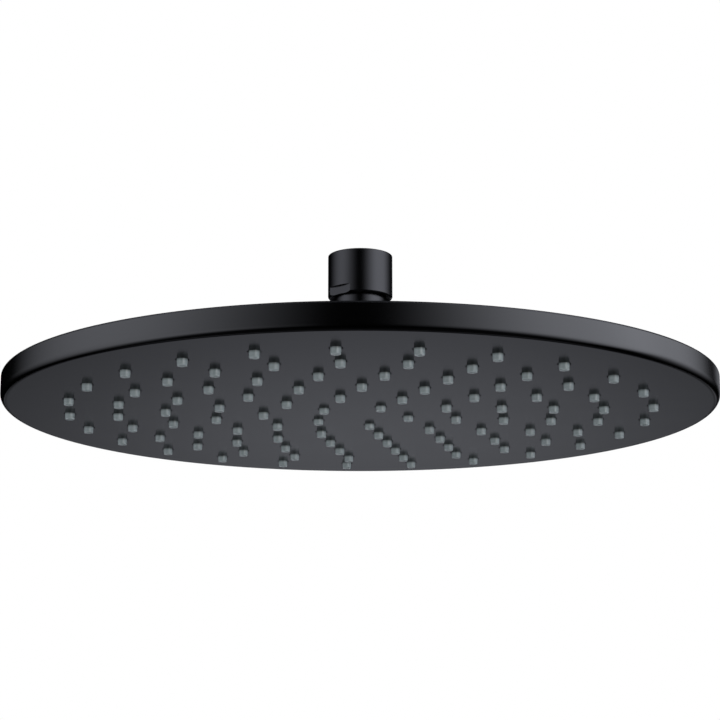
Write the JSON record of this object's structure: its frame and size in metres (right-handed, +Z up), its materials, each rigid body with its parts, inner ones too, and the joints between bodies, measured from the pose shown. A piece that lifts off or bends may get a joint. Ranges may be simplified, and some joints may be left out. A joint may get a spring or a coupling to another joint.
{
  "type": "rain shower head",
  "caption": "Round flat rain shower head in satin black with rings of grey silicone nozzles, hung by a ball joint from a threaded connector with spanner flats.",
  "frame": {"origin": "on the inlet's axis where its thread begins, at the foot of the mouth's chamfer", "axes": "+Z up along the supply pipe, out of the inlet's mouth; the face sprays towards -Z; the picture looks along +Y"},
  "size_m": [0.3, 0.3, 0.072],
  "materials": {
    "coated_brass": "satin black",
    "coated_plastic": "satin black",
    "bare_plastic": "matte",
    "white_plastic": "satin",
    "grey_silicone": "satin",
    "black_rubber": "matte",
    "stainless_screen": "satin",
    "stainless_screw": "satin"
  },
  "bodies": {
    "connector": {"connector": "coated_brass", "inlet_washer": "black_rubber", "filter_screen": "stainless_screen", "flow_regulator": "white_plastic", "regulator_ring": "black_rubber"},
    "seal": {"ball_seal": "black_rubber"},
    "ring": {"split_ring": "white_plastic"},
    "head": {"ball_seat": "white_plastic", "seat_seal": "black_rubber", "collar": "coated_plastic", "collar_washer": "black_rubber", "back_cover": "coated_plastic", "chamber_cover": "bare_plastic", "chamber_screws": "stainless_screw", "nozzle_mat": "grey_silicone", "face_plate": "coated_plastic"}
  },
  "joints": [
    {"name": "tilt_fore_aft", "type": "hinge", "parent": "connector", "child": "seal", "pos_m": [0, 0, -0.03424], "axis": [1, 0, 0], "range_deg": [-12, 12]},
    {"name": "tilt_sideways", "type": "hinge", "parent": "seal", "child": "ring", "pos_m": [0, 0, -0.03424], "axis": [0, 1, 0], "range_deg": [-12, 12]},
    {"name": "swivel", "type": "hinge", "parent": "ring", "child": "head", "pos_m": [0, 0, -0.03424], "axis": [0, 0, 1], "continuous": true}
  ]
}
